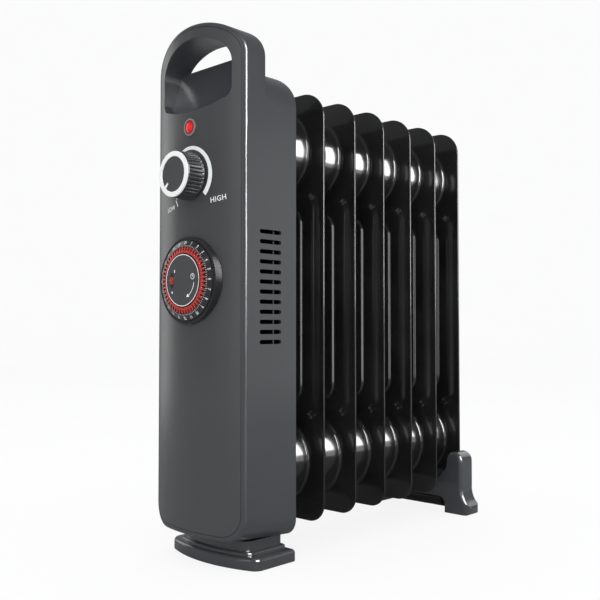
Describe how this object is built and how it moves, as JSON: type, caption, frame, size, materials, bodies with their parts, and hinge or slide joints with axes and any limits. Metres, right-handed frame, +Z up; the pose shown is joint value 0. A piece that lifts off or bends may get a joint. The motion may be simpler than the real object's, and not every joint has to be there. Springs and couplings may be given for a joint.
{
  "type": "oil filled radiator heater",
  "caption": "Small upright oil filled radiator heater with pressed fins, a control housing with an arched carrying handle, a thermostat knob, a day timer dial and two feet.",
  "frame": {"origin": "centre of the floor rectangle that the whole heater covers, on the floor", "axes": "+Z up, -Y towards the control panel, +X to the right of a person facing the panel"},
  "size_m": [0.122, 0.3028, 0.385],
  "materials": {
    "housing_plastic": "satin",
    "dark_plastic": "satin",
    "foot_plastic": "gloss",
    "white_plastic": "gloss",
    "red_plastic": "gloss",
    "red_lens": "gloss",
    "lamp_glass": "gloss",
    "fin_paint": "gloss",
    "black_metal": "gloss",
    "steel": "satin",
    "zinc_steel": "satin",
    "brass": "satin",
    "ceramic": "matte",
    "cable": "matte",
    "cutout_metal": "satin"
  },
  "bodies": {
    "heater": {"front_panel": "housing_plastic", "housing_shell": "housing_plastic", "panel_screws": "zinc_steel", "back_plate": "zinc_steel", "mounting_studs": "steel", "mounting_nuts": "zinc_steel", "cord_inlet_bush": "dark_plastic", "terminal_block": "ceramic", "thermal_cutout": "cutout_metal", "earth_screw": "brass", "internal_wires": "cable", "indicator_lens": "red_lens", "indicator_bezel": "white_plastic", "neon_lamp": "lamp_glass", "thermostat_body": "dark_plastic", "thermostat_nut": "zinc_steel", "timer_bezel": "dark_plastic", "timer_centre_disc": "housing_plastic", "timer_case": "dark_plastic", "timer_motor": "steel", "heater_element": "steel", "heater_flange": "steel", "heater_terminals": "ceramic", "oil_filler_plug": "black_metal", "front_foot": "foot_plastic", "front_foot_screws": "zinc_steel", "rear_foot": "foot_plastic", "rear_foot_screws": "zinc_steel", "rear_foot_rail": "black_metal", "rail_screws": "zinc_steel", "fin_1_front": "fin_paint", "fin_1_rear": "fin_paint", "fin_2_front": "fin_paint", "fin_2_rear": "fin_paint", "fin_3_front": "fin_paint", "fin_3_rear": "fin_paint", "fin_4_front": "fin_paint", "fin_4_rear": "fin_paint", "fin_5_front": "fin_paint", "fin_5_rear": "fin_paint", "fin_6_front": "fin_paint", "fin_6_rear": "fin_paint", "fin_7_front": "fin_paint", "fin_7_rear": "fin_paint"},
    "knob": {"thermostat_knob": "dark_plastic", "knob_trim_ring": "white_plastic", "knob_cap": "housing_plastic", "thermostat_spindle": "steel"},
    "timer_dial": {"timer_dial_ring": "dark_plastic", "timer_tappets": "red_plastic", "timer_drive_gear": "white_plastic"},
    "timer_tappet": {"timer_tappet_single": "red_plastic"},
    "timer_switch": {"timer_switch_lever": "red_plastic"},
    "motor_pinion": {"timer_pinion": "brass"}
  },
  "joints": [
    {"name": "knob_turn", "type": "hinge", "parent": "heater", "child": "knob", "pos_m": [0, -0.1439, 0.2752], "axis": [0, 1, 0], "range_deg": [0, 270]},
    {"name": "timer_dial_turn", "type": "hinge", "parent": "heater", "child": "timer_dial", "pos_m": [0, -0.1359, 0.2009], "axis": [0, 1, 0], "continuous": true},
    {"name": "motor_pinion_turn", "type": "hinge", "parent": "heater", "child": "motor_pinion", "pos_m": [0, -0.1189, 0.1827], "axis": [0, 1, 0], "continuous": true},
    {"name": "timer_switch_slide", "type": "slide", "parent": "heater", "child": "timer_switch", "axis": [0, 0, 1], "range_m": [-0.0025, 0.0025]},
    {"name": "timer_tappet_press", "type": "slide", "parent": "timer_dial", "child": "timer_tappet", "axis": [0, 1, 0], "range_m": [0, 0.0016]}
  ],
  "couplings": [
    {"joint": "motor_pinion_turn", "follows": "timer_dial_turn", "ratio": -3.3333}
  ]
}
